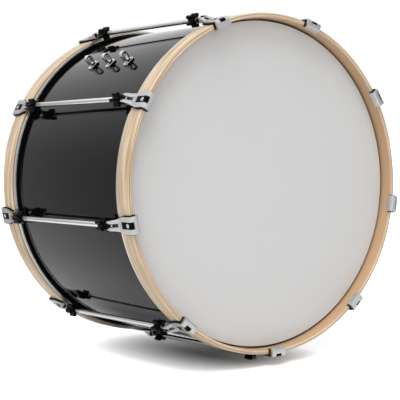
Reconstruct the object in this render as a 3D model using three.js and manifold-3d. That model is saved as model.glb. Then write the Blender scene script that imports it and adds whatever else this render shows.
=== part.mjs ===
// Marching bass drum: a lacquered shell with a film head at each end.
// Millimetres, +Z up. The drum's axis runs along Y and the front head faces -Y.
// Each station has a claw on either hoop, and a floating tube between their hand screws.

import * as THREE from 'three';
import { mergeVertices } from 'three/addons/utils/BufferGeometryUtils.js';
import Module from 'manifold-3d';

const wasm = await Module();
wasm.setup();

// Fits and cuts
const seat = 0.3;
const rodPlay = 0.4;
const overrun = 3;

// Shell
const shellOuterRadius = 304.8;
const shellLength = 406.4;
const shellWall = 7;
const bearingInset = 2;
const bearingChamfer = 2.5;

// Film heads
const filmThickness = 0.6;
const collarDepth = 10;

// Flesh hoops, the metal rings that the films are set in
const fleshInnerGap = 0.4;
const fleshThickness = 7;
const fleshDepth = 7;

// Wooden hoops
const hoopStandoff = 2.1;
const hoopThickness = 8.7;
const hoopWidth = 36.3;
const hoopRound = 2.6;

// Claws
const clawWidth = 31.4;
const clawPlate = 5.6;
const clawWall = 9.1;
const clawNose = 5.4;
const clawReturn = 3;
const clawReturnDepth = 2;
const clawToeLength = 8;
const clawRampInset = 7.8;
const clawShoulderLength = 19.5;
const clawShoulderWidth = 27;
const insetWidth = 12.8;
const insetSetback = 14.4;
const insetDepth = 1.4;

// Claw tails, with the trunnion that each hand screw pulls on
const screwStandoff = 9.1;
const tailWidth = 20.4;
const tailTipWidth = 16;
const channelWidth = 9.8;
const prongReach = 6.5;
const tailRoof = 2.4;
const windowInset = 4.9;
const trunnionRadius = 5.1;
const trunnionLength = 18.2;
const trunnionSetback = 17;

// Hand screws
const lobes = 5;
const knobRadius = 13.2;
const knobHubRadius = 7.4;
const knobLength = 17.6;
const lobeThickness = 5.8;
const neckRadius = 4.4;
const neckLength = 8.6;
const rodRadius = 2.75;
const rodInTube = 26;
const rodHeadRadius = 3;
const rodHeadLength = 4;

// Tubes
const tubeOuterRadius = 4.75;
const tubeBoreRadius = 3.6;
const tubeEndGap = 1.5;

// Sling eyes, and the screw plates that hold them through the shell
const eyePitch = 62.7;
const eyeHeight = 25;
const eyeThickness = 9;
const eyeWidth = 13;
const eyeNeckWidth = 8.5;
const eyeRim = 2.8;
const eyeHoleLength = 14;
const eyeCorner = 3.2;
const footLength = 23;
const footWidth = 13;
const footHeight = 3.5;
const footScrewPitch = 16;
const eyeScrewRadius = 2.2;
const eyeScrewHeadRadius = 2.9;
const eyeScrewHeadHeight = 1.6;
const backPlateThickness = 2.5;

// Counts
const stations = 9;
const ringSides = 72;
const tubeSides = 12;
const rodSides = 8;
const eyeCount = 3;

// Places that follow from the sizes
const turn = 2 * Math.PI;
const pitchAngle = turn / stations;
const firstAngle = -turn / 4;
const eyeAngle = firstAngle + pitchAngle * 5.5;
const facet = Math.cos(Math.PI / ringSides);
const shellInnerRadius = shellOuterRadius - shellWall;
const footUnder = shellOuterRadius * facet + seat;
const footTop = footUnder + footHeight;
const backPlateTop = shellInnerRadius * facet - seat;
const crestRadius = shellOuterRadius - bearingInset;
const crest = shellLength / 2;
const fleshTop = crest - collarDepth;
const fleshInnerRadius = shellOuterRadius + fleshInnerGap;
const hoopInnerRadius = shellOuterRadius + hoopStandoff;
const hoopOuterRadius = hoopInnerRadius + hoopThickness;
const hoopRear = fleshTop + seat;
const hoopFront = hoopRear + hoopWidth;
const plateUnder = hoopOuterRadius * facet + seat;
const plateTop = plateUnder + clawPlate;
const clawFront = hoopFront + seat + clawWall;
const screwLine = hoopOuterRadius + screwStandoff;
const trunnionPlace = hoopRear - trunnionSetback;
const tailEnd = trunnionPlace - prongReach;
const neckTop = trunnionPlace - trunnionRadius - rodPlay;
const knobTop = neckTop - neckLength;
const knobFoot = knobTop - knobLength;
const tubeEnd = knobFoot - tubeEndGap;
const rodHeadFoot = trunnionPlace + trunnionRadius + rodPlay;

// The two lobes that point away from the drum carry it when it stands
const lobeAngle = turn / lobes;
const lobeReach = knobRadius * Math.cos(lobeAngle / 2) + (lobeThickness / 2) * Math.sin(lobeAngle / 2);
const axisHeight = screwLine + lobeReach;

// Looks
const lacquer = { color: 0x17171a, roughness: 0.12, metalness: 0.0 };
const maple = { color: 0xd8b68c, roughness: 0.45, metalness: 0.0 };
const film = { color: 0xcfcfcf, roughness: 0.5, metalness: 0.0 };
const silver = { color: 0xc4c5c7, roughness: 0.35, metalness: 0.9 };
const bright = { color: 0xe2e3e5, roughness: 0.15, metalness: 1.0 };
const black = { color: 0x141415, roughness: 0.4, metalness: 0.0 };

function material(look) {
  return new THREE.MeshStandardMaterial(look);
}

function named(name, geometry, look) {
  const mesh = new THREE.Mesh(geometry, material(look));
  mesh.name = name;
  return mesh;
}

// Booleans
function solid(geometry) {
  const bare = geometry.clone();
  bare.deleteAttribute('normal');
  bare.deleteAttribute('uv');
  const merged = mergeVertices(bare);
  return new wasm.Manifold(new wasm.Mesh({
    numProp: 3,
    vertProperties: new Float32Array(merged.attributes.position.array),
    triVerts: new Uint32Array(merged.index.array),
  }));
}

function geometryOf(manifold) {
  const mesh = manifold.getMesh();
  const geometry = new THREE.BufferGeometry();
  geometry.setAttribute('position', new THREE.BufferAttribute(mesh.vertProperties, 3));
  geometry.setIndex(new THREE.BufferAttribute(mesh.triVerts, 1));
  geometry.computeVertexNormals();
  return geometry;
}

function cut(body, tools) {
  return tools.reduce((left, tool) => left.subtract(tool), body);
}

// Basic forms. In a station's frame X points away from the axis, Y along it and Z round it.
function ring(points, sides) {
  const profile = points.map(([radius, place]) => new THREE.Vector2(radius, place));
  return new THREE.LatheGeometry(profile, sides, Math.PI / sides);
}

function closedRing(points, sides) {
  return ring([...points, points[0]], sides);
}

function outline(points) {
  return new THREE.Shape(points.map(([first, second]) => new THREE.Vector2(first, second)));
}

function slab(shape, depth, curveSegments = 4) {
  return new THREE.ExtrudeGeometry(shape, { depth, curveSegments, bevelEnabled: false });
}

// An outline of radius and place, given its width round the drum
function sideSlab(points, width) {
  return slab(outline(points), width).translate(0, 0, -width / 2);
}

// An outline of place and width, given its height away from the drum
function planSlab(points, low, high) {
  const axes = [new THREE.Vector3(0, 1, 0), new THREE.Vector3(0, 0, 1), new THREE.Vector3(1, 0, 0)];
  const turned = new THREE.Matrix4().makeBasis(...axes);
  return slab(outline(points), high - low).applyMatrix4(turned).translate(low, 0, 0);
}

function block(radii, places, width) {
  const size = [radii[1] - radii[0], places[1] - places[0], width];
  return new THREE.BoxGeometry(...size)
    .translate((radii[0] + radii[1]) / 2, (places[0] + places[1]) / 2, 0);
}

function mirrored(points) {
  return [...points, ...points.slice().reverse().map(([place, width]) => [place, -width])];
}

// Shell, with its holes
function shellGeometry() {
  const outerEnd = crest - bearingChamfer;
  const innerEnd = crest - (crestRadius - shellInnerRadius);
  const tube = solid(closedRing([
    [shellOuterRadius, -outerEnd],
    [shellOuterRadius, outerEnd],
    [crestRadius, crest],
    [shellInnerRadius, innerEnd],
    [shellInnerRadius, -innerEnd],
    [crestRadius, -crest],
  ], ringSides));
  const holes = eyePlaces().flatMap((place) => [-1, 1].map((side) => {
    const drill = throughShell(eyeScrewRadius + rodPlay, rodSides);
    return drill.translate(0, place, side * footScrewPitch / 2).rotateY(-eyeAngle);
  }));
  return geometryOf(cut(tube, holes.map(solid)));
}

function throughShell(radius, sides) {
  return new THREE.CylinderGeometry(radius, radius, shellWall + 2 * overrun, sides)
    .rotateZ(-Math.PI / 2)
    .translate(shellOuterRadius - shellWall / 2, 0, 0);
}

function eyePlaces() {
  return Array.from({ length: eyeCount }, (_, i) => (i - (eyeCount - 1) / 2) * eyePitch);
}

// Film head for the rear, a flat film with a collar over the bearing edge
function filmGeometry() {
  const under = crest + seat;
  const shoulder = crest - bearingChamfer + seat;
  const collarInner = shellOuterRadius + seat;
  const collarOuter = collarInner + filmThickness;
  const collarFoot = fleshTop + seat;
  return ring([
    [0, under],
    [crestRadius, under],
    [collarInner, shoulder],
    [collarInner, collarFoot],
    [collarOuter, collarFoot],
    [collarOuter, shoulder + filmThickness / 2],
    [crestRadius + filmThickness, under + filmThickness],
    [0, under + filmThickness],
  ], ringSides);
}

function fleshHoopGeometry() {
  const outer = fleshInnerRadius + fleshThickness;
  const low = fleshTop - fleshDepth;
  return closedRing([[outer, low], [outer, fleshTop], [fleshInnerRadius, fleshTop],
    [fleshInnerRadius, low]], ringSides);
}

function hoopGeometry() {
  return closedRing([
    [hoopOuterRadius, hoopRear],
    [hoopOuterRadius, hoopFront - hoopRound],
    [hoopOuterRadius - hoopRound, hoopFront],
    [hoopInnerRadius + hoopRound, hoopFront],
    [hoopInnerRadius, hoopFront - hoopRound],
    [hoopInnerRadius, hoopRear],
  ], ringSides);
}

// Claw: a plate over the hoop, a wall in front, a short return inside it and a forked tail
function clawSide() {
  const halfWidth = clawWidth / 2;
  const innerFlat = Math.sqrt(hoopInnerRadius ** 2 - halfWidth ** 2) * facet - seat;
  const wallFoot = hoopFront + seat;
  const returnEnd = hoopFront - clawReturnDepth;
  const tailTop = screwLine + trunnionRadius + seat;
  const tailUnder = screwLine - trunnionRadius - seat;
  const rampFoot = hoopRear + clawRampInset;
  const rampTop = rodHeadFoot;
  const tipChamfer = trunnionRadius / 2;
  const nose = clawNose * (1 - Math.SQRT1_2);
  return [
    [tailUnder, tailEnd + tipChamfer],
    [tailUnder + tipChamfer, tailEnd],
    [tailTop - tipChamfer, tailEnd],
    [tailTop, tailEnd + tipChamfer],
    [tailTop, rampTop],
    [plateTop, rampFoot],
    [plateTop, clawFront - clawNose],
    [plateTop - nose, clawFront - nose],
    [plateTop - clawNose, clawFront],
    [innerFlat, clawFront],
    [innerFlat - clawReturn, clawFront - clawToeLength],
    [innerFlat - clawReturn, returnEnd],
    [innerFlat, returnEnd],
    [innerFlat, wallFoot],
    [plateUnder, wallFoot],
    [plateUnder, hoopRear],
    [tailUnder, hoopRear - (tailUnder - plateUnder)],
  ].reverse();
}

// The tail widens to the hoop, and the shoulders widen on to the full plate
function clawPlan() {
  const widths = [
    [tailEnd, tailTipWidth],
    [hoopRear, tailWidth],
    [hoopRear + clawShoulderLength * 2 / 3, clawShoulderWidth],
    [hoopRear + clawShoulderLength, clawWidth],
    [clawFront + overrun, clawWidth],
  ];
  return mirrored(widths.map(([place, width]) => [place, -width / 2]));
}

// The space under the tail's roof, which is open between the prongs
function tailChannel() {
  const under = screwLine - trunnionRadius - overrun;
  const over = screwLine + trunnionRadius + overrun;
  const start = tailEnd - overrun;
  const roofStart = rodHeadFoot - seat;
  const roofUnder = screwLine + trunnionRadius - tailRoof;
  const points = [
    [under, start],
    [over, start],
    [over, roofStart],
    [roofUnder, roofStart],
    [plateTop - tailRoof / 2, hoopRear + tailRoof],
    [plateUnder + seat, hoopRear],
    [under, hoopRear - tailRoof],
  ];
  return sideSlab(points.reverse(), channelWidth);
}

function clawGeometry() {
  const side = solid(sideSlab(clawSide(), clawWidth));
  const plan = solid(planSlab(clawPlan(), shellOuterRadius, screwLine + knobRadius));
  const body = side.intersect(plan).subtract(solid(tailChannel()));
  const trunnion = new THREE.CylinderGeometry(trunnionRadius, trunnionRadius, trunnionLength, tubeSides)
    .rotateX(Math.PI / 2)
    .translate(screwLine, trunnionPlace, 0);
  const bore = rodRadius + rodPlay;
  const rodHole = new THREE.CylinderGeometry(bore, bore, 2 * trunnionRadius + overrun, rodSides)
    .translate(screwLine, trunnionPlace, 0);
  const windowCut = block([plateTop - tailRoof, screwLine + knobRadius],
    [rodHeadFoot - seat, hoopRear + windowInset], 2 * (rodHeadRadius + seat));
  const insetCut = block([plateTop - insetDepth, plateTop + overrun],
    [hoopRear + insetSetback, clawFront + overrun], insetWidth);
  return geometryOf(cut(body.add(solid(trunnion)), [rodHole, windowCut, insetCut].map(solid)));
}

// Hand screw: a lobed knob on a rod, whose head sits beyond the claw's trunnion
function lobedOutline() {
  const half = lobeThickness / 2;
  const points = Array.from({ length: lobes }, (_, i) => {
    const angle = lobeAngle * (i + 0.5);
    const gap = angle + lobeAngle / 2;
    const along = [Math.cos(angle), Math.sin(angle)];
    const place = (out, side) => [
      out * along[0] - side * along[1],
      out * along[1] + side * along[0],
    ];
    return [
      place(knobHubRadius, -half),
      place(knobRadius, -half),
      place(knobRadius, half),
      place(knobHubRadius, half),
      [knobHubRadius * Math.cos(gap), knobHubRadius * Math.sin(gap)],
    ];
  });
  return outline(points.flat());
}

function handScrewGeometry() {
  const knob = slab(lobedOutline(), knobLength).rotateX(-Math.PI / 2).translate(0, knobFoot, 0);
  const rod = ring([
    [0, tubeEnd - rodInTube],
    [rodRadius, tubeEnd - rodInTube],
    [rodRadius, knobFoot + seat],
    [neckRadius, knobTop - seat],
    [neckRadius, neckTop],
    [rodRadius, neckTop],
    [rodRadius, rodHeadFoot],
    [rodHeadRadius, rodHeadFoot],
    [rodHeadRadius, rodHeadFoot + rodHeadLength],
    [0, rodHeadFoot + rodHeadLength],
  ], rodSides);
  return geometryOf(solid(knob).add(solid(rod))).translate(screwLine, 0, 0);
}

function tubeGeometry() {
  return closedRing([[tubeOuterRadius, -tubeEnd], [tubeOuterRadius, tubeEnd],
    [tubeBoreRadius, tubeEnd], [tubeBoreRadius, -tubeEnd]], tubeSides).translate(screwLine, 0, 0);
}

// Sling eye: an upright loop on a foot with two screw holes
function eyeLoop() {
  const top = footUnder + eyeHeight;
  const root = footTop - footHeight / 2;
  const points = [
    [root, -eyeNeckWidth / 2],
    [root, eyeNeckWidth / 2],
    [top - 2 * eyeCorner, eyeWidth / 2],
    [top - eyeCorner / 2, eyeWidth / 2 - eyeCorner / 2],
    [top, eyeWidth / 2 - 1.5 * eyeCorner],
    [top, -eyeWidth / 2 + 1.5 * eyeCorner],
    [top - eyeCorner / 2, -eyeWidth / 2 + eyeCorner / 2],
    [top - 2 * eyeCorner, -eyeWidth / 2],
  ];
  const shape = outline(points.reverse());
  const hole = new THREE.Path();
  const middle = top - eyeRim - eyeHoleLength / 2;
  hole.absellipse(middle, 0, eyeHoleLength / 2, eyeWidth / 2 - eyeRim, 0, turn, true);
  shape.holes.push(hole);
  return slab(shape, eyeThickness).rotateX(Math.PI / 2).translate(0, eyeThickness / 2, 0);
}

function footPlan() {
  const nose = footWidth / 4;
  return [
    [-footWidth / 2 + nose, -footLength / 2],
    [footWidth / 2 - nose, -footLength / 2],
    [footWidth / 2, -footLength / 2 + nose],
    [footWidth / 2, footLength / 2 - nose],
    [footWidth / 2 - nose, footLength / 2],
    [-footWidth / 2 + nose, footLength / 2],
    [-footWidth / 2, footLength / 2 - nose],
    [-footWidth / 2, -footLength / 2 + nose],
  ];
}

function eyeGeometry() {
  const foot = planSlab(footPlan(), footUnder, footTop);
  const holes = [-1, 1].map((side) =>
    throughShell(eyeScrewRadius + rodPlay, rodSides)
      .translate(shellWall / 2 + footHeight / 2, 0, side * footScrewPitch / 2));
  const body = solid(foot).add(solid(eyeLoop()));
  return geometryOf(cut(body, holes.map(solid)));
}

function eyeScrewPlateGeometry() {
  const plate = solid(planSlab(footPlan(), backPlateTop - backPlateThickness, backPlateTop));
  const headUnder = footTop + seat;
  const shankFoot = backPlateTop - backPlateThickness / 2;
  const shankTop = headUnder + eyeScrewHeadHeight / 2;
  return geometryOf([-1, 1].reduce((body, side) => {
    const across = side * footScrewPitch / 2;
    const shank = shankTop - shankFoot;
    const stem = new THREE.CylinderGeometry(eyeScrewRadius, eyeScrewRadius, shank, rodSides)
      .rotateZ(-Math.PI / 2)
      .translate((shankFoot + shankTop) / 2, 0, across);
    const radii = [eyeScrewRadius, eyeScrewHeadRadius];
    const head = new THREE.CylinderGeometry(...radii, eyeScrewHeadHeight, rodSides)
      .rotateZ(-Math.PI / 2)
      .translate(headUnder + eyeScrewHeadHeight / 2, 0, across);
    return body.add(solid(stem)).add(solid(head));
  }, plate));
}

// Assembly
const drum = new THREE.Group();
drum.position.z = axisHeight;

const ends = [['front', Math.PI], ['rear', 0]];
const rings = [
  ['head', filmGeometry(), film],
  ['flesh_hoop', fleshHoopGeometry(), silver],
  ['hoop', hoopGeometry(), maple],
];
drum.add(named('shell', shellGeometry(), lacquer));
for (const [end, flip] of ends) {
  const side = new THREE.Group();
  side.rotation.x = flip;
  for (const [name, geometry, look] of rings) side.add(named(`${end}_${name}`, geometry, look));
  drum.add(side);
}

const claw = clawGeometry();
const handScrew = handScrewGeometry();
const tube = tubeGeometry();
for (let i = 0; i < stations; i += 1) {
  const station = new THREE.Group();
  station.rotation.y = -(firstAngle + i * pitchAngle);
  station.add(named(`tube_${i + 1}`, tube, bright));
  for (const [end, flip] of ends) {
    const side = new THREE.Group();
    side.rotation.x = flip;
    side.add(named(`${end}_claw_${i + 1}`, claw, silver));
    side.add(named(`${end}_hand_screw_${i + 1}`, handScrew, black));
    station.add(side);
  }
  drum.add(station);
}

const eyeRow = new THREE.Group();
eyeRow.rotation.y = -eyeAngle;
const eye = eyeGeometry();
const eyeScrewPlate = eyeScrewPlateGeometry();
eyePlaces().forEach((place, i) => {
  const spot = new THREE.Group();
  spot.position.y = place;
  spot.add(named(`sling_eye_${i + 1}`, eye, bright));
  spot.add(named(`eye_screw_plate_${i + 1}`, eyeScrewPlate, bright));
  eyeRow.add(spot);
});
drum.add(eyeRow);

const object = new THREE.Group();
object.add(drum);
export default object;
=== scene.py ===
"""Dresses the marching bass drum and sets it on a pale studio floor."""

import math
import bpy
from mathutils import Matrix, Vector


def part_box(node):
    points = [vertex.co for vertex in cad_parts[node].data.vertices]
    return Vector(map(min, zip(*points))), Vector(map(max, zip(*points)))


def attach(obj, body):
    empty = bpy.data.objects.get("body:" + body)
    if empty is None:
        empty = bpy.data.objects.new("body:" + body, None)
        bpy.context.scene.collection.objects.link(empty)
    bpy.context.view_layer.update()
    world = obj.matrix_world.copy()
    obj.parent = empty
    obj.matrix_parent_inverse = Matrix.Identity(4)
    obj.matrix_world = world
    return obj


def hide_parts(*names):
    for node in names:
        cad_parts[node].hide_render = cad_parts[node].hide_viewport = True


bl_info = {
    "name": "Marching Bass Drum",
    "version": (1, 0, 0),
    "blender": (4, 5, 0),
    "location": "View3D > Sidebar > Drum",
    "description": "Makes the visible pieces of a marching bass drum, piece group by piece group",
    "category": "Add Mesh",
}

import bmesh
import bpy
from bpy.props import FloatProperty, FloatVectorProperty, IntProperty, PointerProperty
from mathutils import Matrix, Vector

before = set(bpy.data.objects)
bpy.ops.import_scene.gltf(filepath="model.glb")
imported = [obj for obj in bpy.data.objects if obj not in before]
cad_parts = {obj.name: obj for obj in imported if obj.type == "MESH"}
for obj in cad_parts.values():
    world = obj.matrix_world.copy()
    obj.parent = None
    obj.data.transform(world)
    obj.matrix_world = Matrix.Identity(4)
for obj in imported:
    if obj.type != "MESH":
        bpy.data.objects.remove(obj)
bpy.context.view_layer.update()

# The drum's axis runs along Y, at the middle of the shell's box
SHELL_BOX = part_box("shell")
AXIS_HEIGHT = (SHELL_BOX[0].z + SHELL_BOX[1].z) / 2
STATIONS = 9
FIRST_ANGLE = -math.pi / 2
PITCH = 2 * math.pi / STATIONS
ENDS = (("front", True), ("rear", False))
EYE_STATION = 6.5
EYE_COUNT = 3
LOBES = 5

# Steps of the round forms
TUBE_STEPS, KNOB_STEPS, ROD_STEPS = 40, 32, 24
SHOULDER_STEPS = 8

# Small sizes in metres that several forms share
MERGE = 1e-7
HAIR = 0.0001
LAP = 0.0003
CLEARANCE = 0.0004
SUNK = 0.0005
EDGE = 0.0004
RELIEF = 0.0002

# Angles from which edges stay sharp or are bevelled, and slopes that tell faces apart
SHARP = math.radians(35)
BEVELLED = math.radians(40)
OUTWARD = 0.2
SIDEWAYS = 0.9

WHITE = (1.0, 1.0, 1.0, 1.0)
BLACK = (0.0, 0.0, 0.0, 1.0)

# Head of an eye's screw, as radius and height above the foot, and the spread of the eye's hole
SCREW_HEAD = ((0.0022, 0.0003), (0.0029, 0.0004), (0.0027, 0.0012), (0.0016, 0.0018), (0.0, 0.0019))
HOLE_SPREAD = 1.15

# The photograph's camera, about the middle of a drum that is turned a little more than this one
VIEW_AZIMUTH, VIEW_ELEVATION = math.radians(-36.102), math.radians(2.0321)
VIEW_PLACE = (-1.47264, -2.02490, 0.05312)
VIEW_TURN = math.radians(2.118)
VIEW_LENS = 112.81

# Glowing cards that only gloss shows, painted reflections on the shell and the claws: place, size,
# and the heights where grey ends and white begins
CARDS = (("side_card", (-0.77, 1.05, 0.75), (2.4, 1.5), AXIS_HEIGHT + 0.15, 1.6),
         ("front_card", (2.55, -0.45, 1.0), (5.0, 3.0), 1.6, 2.4))
# Lights: direction, level and softness over the softness of the main one
LIGHTS = (("main_light", (0.35, 0.30, -0.88), "key", 1.0),
          ("front_light", (0.45, 0.85, -0.25), "fill", 2.0))
FLOOR_REACH = 20.0
# Glossy depth under which a ray has met one mirror only
FIRST_MIRROR = 1.5

# Speckle's share in a mottle, widths that a ring's mask reaches, and the grain's slant by radius
SPECKLE_SHARE, RING_REACH, GRAIN_SLANT = 0.35, 1.4, 3.0

# Finish of each slot: colour, roughness, metal, (cloud, speckle, spread), bump, specular
FINISHES = {
    "black_lacquer": ("lacquer", 0.04, 0.0, (6.0, 500.0, 0.01), 0.0, 0.34),
    "satin_metal": ("satin", 0.34, 1.0, (40.0, 2500.0, 0.06), 0.06, 0.5),
    "flesh_metal": ("bright", 0.25, 1.0, (40.0, 1500.0, 0.02), 0.0, 0.5),
    "bright_metal": ("bright", 0.15, 1.0, (30.0, 1800.0, 0.04), 0.0, 0.5),
    "head_film": ("film", 0.5, 0.0, (5.0, 1500.0, 0.06), 0.15, 0.5),
    "maple": ("maple", 0.42, 0.0, None, 0.0, 0.5),
    "inset": ("inset", 0.35, 0.0, (60.0, 3000.0, 0.08), 0.2, 0.05),
    "black_polymer": ("polymer", 0.3, 0.0, (60.0, 3000.0, 0.08), 0.3, 0.05),
    "rubber": ("rubber", 0.7, 0.0, (60.0, 3000.0, 0.08), 0.4, 0.2),
}


def length(default, description, low=0.0):
    """A length in metres, as a property of the add-on."""
    return FloatProperty(default=default, description=description, unit="LENGTH", precision=5,
                         min=low)


def level(default, description):
    """A level of light."""
    return FloatProperty(default=default, description=description, min=0.0)


def colour(default, description):
    """A colour that the user may change."""
    return FloatVectorProperty(default=default, description=description, subtype="COLOR",
                               size=4, min=0.0, max=1.0)


class DrumRingSizes(bpy.types.PropertyGroup):
    """Sizes of the shell, the heads and the hoops."""
    steps: IntProperty(default=288, min=36, description="Steps round each ring")
    shell_radius: length(0.3048, "Outside of the shell")
    shell_wall: length(0.007, "Thickness of the shell")
    shell_half: length(0.2032, "Middle of the shell to its bearing edge")
    crest: length(0.002, "How far the bearing edge's crest lies inside the shell")
    film: length(0.0006, "Thickness of the film")
    film_gap: length(0.0003, "Film to bearing edge")
    collar: length(0.3057, "Outside of the film's collar")
    collar_bend: length(0.0035, "Radius of the film's bend over the bearing edge")
    flesh_radius: length(0.3052, "Inside of the flesh hoop")
    flesh_thickness: length(0.007, "Flesh hoop, inside to outside")
    flesh_lip: length(0.0036, "Thickness of the flesh hoop's outer metal lip")
    flesh_top: length(0.1932, "Middle plane to the flesh hoop's outer side")
    flesh_depth: length(0.007, "Flesh hoop along the axis")
    hoop_radius: length(0.3156, "Outside of the wooden hoop")
    hoop_thickness: length(0.0087, "Wooden hoop, inside to outside")
    hoop_rear: length(0.1935, "Middle plane to the hoop's inner edge")
    hoop_front: length(0.2298, "Middle plane to the hoop's outer edge")
    hoop_round: length(0.0025, "Rounding of the hoop's edges")
    # Width of the darker inner band of the hoop: partly an inner ply, partly painted shade
    core_and_shade_depth: length(0.0013, "Inside of the wooden hoop to its pale front")
    glue_depth: length(0.003, "Outside of the wooden hoop to its glue line")
    glue_width: length(0.0006, "Half the width of the glue line")
    # Painted shade: beyond this radius the film is darkened, standing in for the shade of the gap
    # between its collar and the hoop
    film_rim_shade: length(0.3031, "Axis to where the film darkens beyond its bearing edge")
    film_fade: length(0.0004, "Width over which the film darkens")


class DrumFittingSizes(bpy.types.PropertyGroup):
    """Sizes of the claws, hand screws, tubes and sling eyes."""
    claw_width: length(0.0314, "Claw, round the hoop")
    claw_top: length(0.3212, "Axis to the outside of the claw's plate")
    claw_under: length(0.3190, "Axis to the underside of the claw's metal")
    claw_front: length(0.2392, "Middle plane to the claw's front face")
    claw_wall: length(0.0064, "Thickness of the claw's front wall")
    claw_rear: length(0.2013, "Middle plane to the plate's inner end")
    claw_inner: length(0.3029, "Axis to the innermost face of the claw")
    claw_toe: length(0.008, "Length of the slope under the front wall")
    claw_return: length(0.0114, "Claw's front face to the end of its return")
    toe_height: length(0.003, "Innermost face of the claw to its wall's foot")
    wall_round: length(0.0016, "Rounding of the front wall's foot")
    toe_round: length(0.0015, "Rounding of the slope's end")
    claw_nose: length(0.0054, "Rounding of the claw's outer front edge")
    claw_edge: length(0.0006, "Rounding of the claw's other edges")
    pad_margin: length(0.0016, "How far the rubber pad shows beside the claw")
    inset_width: length(0.0128, "Black inset, round the hoop")
    inset_rear: length(0.2079, "Middle plane to the inset's inner end")
    inset_depth: length(0.0011, "Depth of the inset's recess")
    inset_slope: length(0.00025, "How far the recess narrows to its floor")
    inset_proud: length(0.0006, "Black filling above the recess's floor")
    inset_root: length(0.001, "Black filling below the recess's floor")
    inset_foot: length(0.3148, "Axis to the inset's end on the front wall")
    stud_radius: length(0.0041, "Round stud in the inset")
    stud_height: length(0.0009, "Stud above the inset")
    stud_place: length(0.2262, "Middle plane to the stud")
    shoulder_length: length(0.0195, "Hoop's inner edge to the full plate")
    shoulder_width: length(0.027, "Claw, two thirds along its shoulders")
    tail_width: length(0.0204, "Claw's tail, at the hoop's inner edge")
    tail_tip: length(0.0160, "Claw's tail, at the ends of the prongs")
    channel: length(0.0098, "Space between the prongs")
    tail_lap: length(0.003, "How far the tail reaches under the plate")
    tail_heel: length(0.004, "Hoop's inner edge to the tail's lower corner")
    tail_roof: length(0.0024, "Thickness of the tail's roof")
    roof_lap: length(0.002, "How far the roof's strips pass the ramp")
    ramp_round: length(0.002, "Rounding of the top of the tail's ramp")
    prong_round: length(0.0042, "Rounding of the prongs' ends")
    tail_end: length(0.1700, "Middle plane to the ends of the prongs")
    screw_line: length(0.3247, "Axis of the drum to the axis of the tubes")
    trunnion_place: length(0.1765, "Middle plane to the trunnion")
    trunnion_length: length(0.0182, "Trunnion, round the hoop")
    trunnion_radius: length(0.0051, "Trunnion that the hand screw pulls on")
    window_end: length(0.1984, "Middle plane to the window's outer end")
    window_width: length(0.0064, "Window in the tail's roof, round the hoop")
    head_radius: length(0.0030, "Head of the rod beyond the trunnion")
    head_height: length(0.004, "Head of the rod, along the rod")
    head_round: length(0.0006, "Slope of the rod head's edge")
    rod_reach: length(0.026, "Rod inside the tube")
    knob_foot: length(0.1448, "Middle plane to the knob's inner end")
    knob_length: length(0.0176, "Knob along its axis")
    knob_radius: length(0.0132, "Axis of the knob to the tips of its lobes")
    hub_radius: length(0.0074, "Knob's core")
    lobe: length(0.0058, "Thickness of a lobe")
    lobe_round: length(0.0014, "Rounding of the lobes' tips")
    knob_edge: length(0.0005, "Rounding of the knob's other edges")
    hub_slope: length(0.0014, "Slope of the hub's foot")
    hub_lip: length(0.0006, "Height of the lips on the knob's core")
    neck_radius: length(0.0044, "Neck between the knob and the trunnion")
    neck_groove: length(0.0008, "Depth of the neck's groove, and slope of the hub's top")
    neck_collar: length(0.005, "Collar of the neck, beside the trunnion")
    rod_radius: length(0.00275, "Threaded rod")
    tube_radius: length(0.00475, "Outside of a tension tube")
    tube_bore: length(0.0036, "Inside of a tension tube")
    tube_end: length(0.1433, "Middle plane to the end of a tube")
    eye_pitch: length(0.0627, "From one sling eye to the next")
    eye_under: length(0.30481, "Axis to the underside of an eye's foot")
    eye_height: length(0.025, "Underside of the foot to the top of the loop")
    eye_width: length(0.013, "Loop, at its outer end")
    eye_neck: length(0.0085, "Loop, at its foot")
    eye_thickness: length(0.009, "Loop, along the drum")
    eye_rim: length(0.0028, "Loop, from its outside to its hole")
    eye_crown: length(0.010, "Top of the loop to where it narrows")
    eye_round: length(0.0055, "Rounding of the loop's top")
    eye_edge: length(0.0007, "Rounding of the eye's edges")
    eye_hole: length(0.0142, "Hole of the loop, away from the drum")
    foot_length: length(0.023, "Eye's foot, round the shell")
    foot_width: length(0.013, "Eye's foot, along the drum")
    foot_height: length(0.0035, "Thickness of the foot")
    foot_corner: length(0.0042, "Rounding of the foot's corners")
    back_plate: length(0.0025, "Thickness of the plate inside the shell")
    back_corner: length(0.003, "Rounding of the back plate's corners")
    screw_end: length(0.001, "How far the screws reach into the plate")
    foot_screws: length(0.016, "From one screw of the foot to the other")


class DrumColours(bpy.types.PropertyGroup):
    """Colours of the drum's finishes."""
    lacquer: colour((0.003, 0.003, 0.0035, 1.0), "Gloss black of the shell")
    maple: colour((0.80, 0.65, 0.46, 1.0), "Clear lacquered maple of the hoops")
    # Darker, redder inner face of the hoops: partly an inner ply, partly painted shade and bounce
    # light
    maple_core_and_shade: colour((0.57, 0.345, 0.195, 1.0), "Inner ply of the hoops")
    maple_dark: colour((0.52, 0.35, 0.20, 1.0), "Darker streaks in the maple")
    glue: colour((0.30, 0.17, 0.09, 1.0), "Glue between the maple's plies")
    film: colour((0.65, 0.65, 0.65, 1.0), "Coated film of the heads")
    # Painted shade on the film beyond its bearing edge, for the dark gap between its collar and the
    # hoop
    film_rim_shade: colour((0.006, 0.004, 0.0035, 1.0), "Film beyond its bearing edge")
    satin: colour((0.64, 0.64, 0.65, 1.0), "Claws and their studs")
    bright: colour((0.87, 0.87, 0.88, 1.0), "Tubes, rods, flesh hoops and sling eyes")
    polymer: colour((0.004, 0.004, 0.004, 1.0), "Knobs and trunnions")
    inset: colour((0.002, 0.002, 0.002, 1.0), "Insets of the claws")
    rubber: colour((0.003, 0.003, 0.003, 1.0), "Pads under the claws, and fillers of the flesh hoops")
    floor: colour((0.9, 0.9, 0.9, 1.0), "Floor of the studio")


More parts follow.
